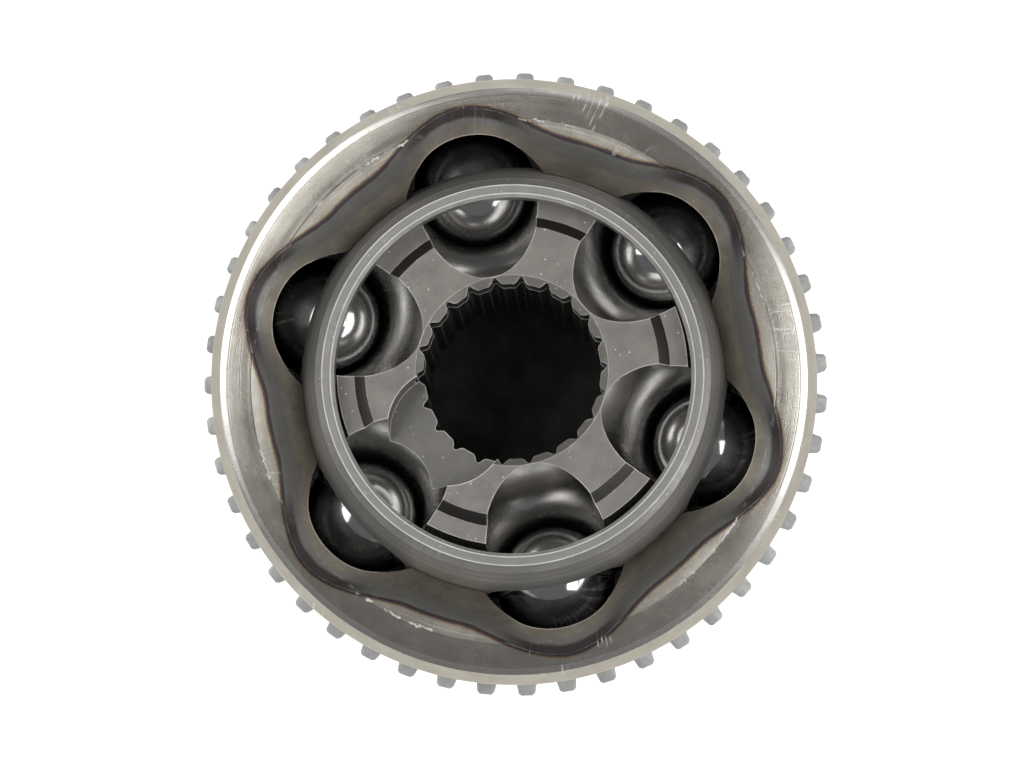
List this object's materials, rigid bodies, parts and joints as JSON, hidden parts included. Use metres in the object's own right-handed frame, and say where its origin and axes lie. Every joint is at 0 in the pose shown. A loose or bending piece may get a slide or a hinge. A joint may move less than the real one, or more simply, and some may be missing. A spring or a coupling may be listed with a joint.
{
  "type": "cv joint",
  "caption": "Fixed ball-type constant-velocity joint: bell with wavy mouth, toothed sensor ring, window cage, balls, splined inner race and splined stub.",
  "frame": {"origin": "joint centre: the point the inner race, cage and bell all swivel about", "axes": "+Z along the bell's axis out of its mouth, -Z along the stub; +Y through the first ball track, the way the inner race leans at rest"},
  "size_m": [0.0804, 0.0804, 0.115],
  "materials": {
    "race_steel": "forged and turned carbon steel, tempered brown and blue at the mouth",
    "sensor_ring": "dull sintered steel",
    "cage_steel": "hardened and turned, satin grey",
    "star_steel": "matt forged faces, ground grooves",
    "ball_steel": "polished bearing steel"
  },
  "bodies": {
    "outer": {"outer_race": "race_steel", "abs_ring": "sensor_ring"},
    "cage": {"cage": "cage_steel"},
    "inner": {"inner_race": "star_steel"},
    "ball_1": {"ball_1": "ball_steel"},
    "ball_2": {"ball_2": "ball_steel"},
    "ball_3": {"ball_3": "ball_steel"},
    "ball_4": {"ball_4": "ball_steel"},
    "ball_5": {"ball_5": "ball_steel"},
    "ball_6": {"ball_6": "ball_steel"}
  },
  "joints": [
    {"name": "inner_race_lean", "type": "hinge", "parent": "outer", "child": "inner", "pos_m": [0, 0, 0], "axis": [1, 0, 0], "range_deg": [-36, 52]},
    {"name": "cage_lean", "type": "hinge", "parent": "outer", "child": "cage", "pos_m": [0, 0, 0], "axis": [1, 0, 0], "range_deg": [-18, 26]},
    {"name": "ball_1_slide", "type": "slide", "parent": "cage", "child": "ball_1", "axis": [0, 0.9976, -0.0698], "range_m": [-0.00088, 0.00127]},
    {"name": "ball_2_roll", "type": "hinge", "parent": "outer", "child": "ball_2", "pos_m": [0, 0, 0.0028], "axis": [0.5, 0.866, 0], "range_deg": [-9.48, 13.69]},
    {"name": "ball_3_roll", "type": "hinge", "parent": "outer", "child": "ball_3", "pos_m": [0, 0, 0.0028], "axis": [-0.5, 0.866, 0], "range_deg": [-13.69, 9.48]},
    {"name": "ball_4_slide", "type": "slide", "parent": "cage", "child": "ball_4", "axis": [0, -0.9976, 0.0698], "range_m": [-0.00127, 0.00088]},
    {"name": "ball_5_roll", "type": "hinge", "parent": "outer", "child": "ball_5", "pos_m": [0, 0, 0.0028], "axis": [-0.5, -0.866, 0], "range_deg": [-13.69, 9.48]},
    {"name": "ball_6_roll", "type": "hinge", "parent": "outer", "child": "ball_6", "pos_m": [0, 0, 0.0028], "axis": [0.5, -0.866, 0], "range_deg": [-9.48, 13.69]}
  ],
  "couplings": [
    {"joint": "cage_lean", "follows": "inner_race_lean", "ratio": 0.5},
    {"joint": "ball_1_slide", "follows": "inner_race_lean", "m_per_rad": 0.001372},
    {"joint": "ball_2_roll", "follows": "inner_race_lean", "ratio": 0.258},
    {"joint": "ball_3_roll", "follows": "inner_race_lean", "ratio": -0.258},
    {"joint": "ball_4_slide", "follows": "inner_race_lean", "m_per_rad": -0.001372},
    {"joint": "ball_5_roll", "follows": "inner_race_lean", "ratio": -0.258},
    {"joint": "ball_6_roll", "follows": "inner_race_lean", "ratio": 0.258}
  ]
}
